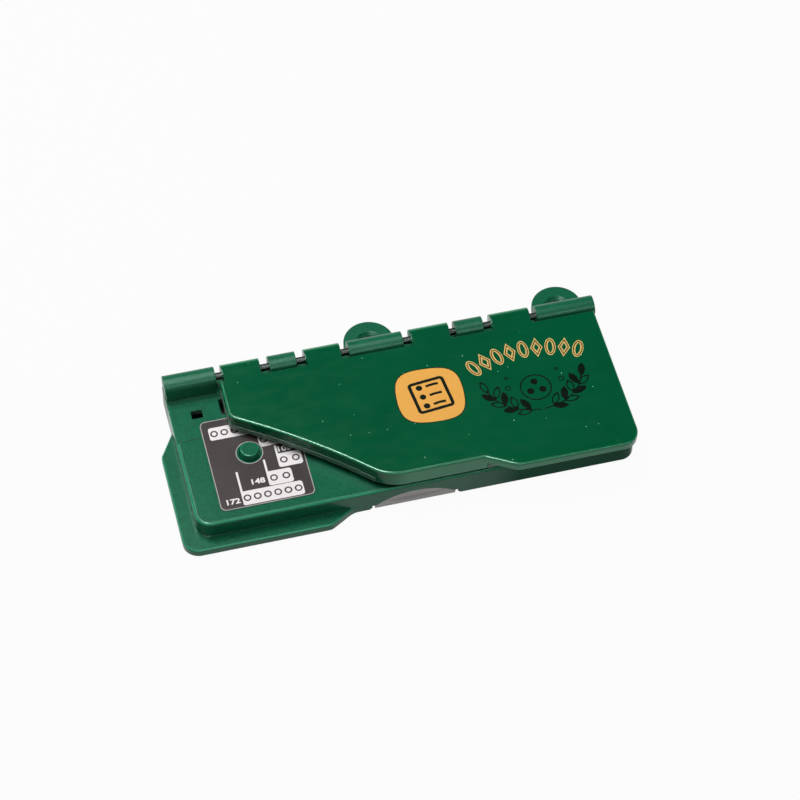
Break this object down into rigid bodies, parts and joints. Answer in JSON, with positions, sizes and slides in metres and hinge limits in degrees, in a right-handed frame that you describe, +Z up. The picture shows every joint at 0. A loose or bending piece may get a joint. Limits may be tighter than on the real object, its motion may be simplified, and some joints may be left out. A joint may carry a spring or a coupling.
{
  "type": "hole punch",
  "caption": "Flat desk hole punch: a hinged lever plate drives spring-loaded pins through a folded steel die, with a sheet gauge, a sinking side stop, a hinged chip tray and binder eyelets.",
  "frame": {"origin": "centre of the bounding box in X and Y, on the plane the pads stand on", "axes": "+X along the hinge to the right seen from the front, +Y to the hinge and ears, +Z up"},
  "size_m": [0.1844, 0.0966, 0.0214],
  "materials": {
    "housing_green": "fine matte texture",
    "lever_green": "glossy",
    "frame_green": "satin",
    "tray_grey": "satin",
    "rod_steel": "dark satin",
    "punch_steel": "ground",
    "spring_steel": "drawn wire",
    "screw_zinc": "bright zinc",
    "label_grey": "printed film",
    "pad_rubber": "matte"
  },
  "bodies": {
    "base": {"body_housing": "housing_green", "hinge_rod": "rod_steel", "punch_frame": "punch_steel", "frame_screws": "screw_zinc", "gauge_label": "label_grey", "button_retainer": "punch_steel", "retainer_screws": "screw_zinc"},
    "lever": {"lever_cover": "lever_green", "lever_frame": "frame_green", "presser_bar": "punch_steel", "lever_screws": "screw_zinc"},
    "pin_1": {"punch_pin_1": "punch_steel", "pin_clip_1": "spring_steel", "return_spring_1": "spring_steel"},
    "pin_2": {"punch_pin_2": "punch_steel", "pin_clip_2": "spring_steel", "return_spring_2": "spring_steel"},
    "pin_3": {"punch_pin_3": "punch_steel", "pin_clip_3": "spring_steel", "return_spring_3": "spring_steel"},
    "side_stop": {"stop_button": "housing_green", "button_spring": "spring_steel"},
    "tray": {"chip_tray": "tray_grey", "foot_pads": "pad_rubber"}
  },
  "joints": [
    {"name": "lever_hinge", "type": "hinge", "parent": "base", "child": "lever", "pos_m": [0, 0.02445, 0.0172], "axis": [-1, 0, 0], "range_deg": [0, 15]},
    {"name": "pin_1_slide", "type": "slide", "parent": "base", "child": "pin_1", "axis": [0, 0, 1], "range_m": [0, 0.00327], "deforming": ["return_spring_1"]},
    {"name": "pin_2_slide", "type": "slide", "parent": "base", "child": "pin_2", "axis": [0, 0, 1], "range_m": [0, 0.00327], "deforming": ["return_spring_2"]},
    {"name": "pin_3_slide", "type": "slide", "parent": "base", "child": "pin_3", "axis": [0, 0, 1], "range_m": [0, 0.00327], "deforming": ["return_spring_3"]},
    {"name": "side_stop_slide", "type": "slide", "parent": "base", "child": "side_stop", "axis": [0, 0, 1], "range_m": [-0.0028, 0], "stiffness_N_per_m": 150, "springref_m": 0.004, "deforming": ["button_spring"]},
    {"name": "tray_hinge", "type": "hinge", "parent": "base", "child": "tray", "pos_m": [0, 0.02365, 0.0026], "axis": [1, 0, 0], "range_deg": [0, 75]}
  ],
  "couplings": [
    {"joint": "pin_1_slide", "follows": "lever_hinge", "m_per_rad": 0.01249},
    {"joint": "pin_2_slide", "follows": "lever_hinge", "m_per_rad": 0.01249},
    {"joint": "pin_3_slide", "follows": "lever_hinge", "m_per_rad": 0.01249}
  ]
}
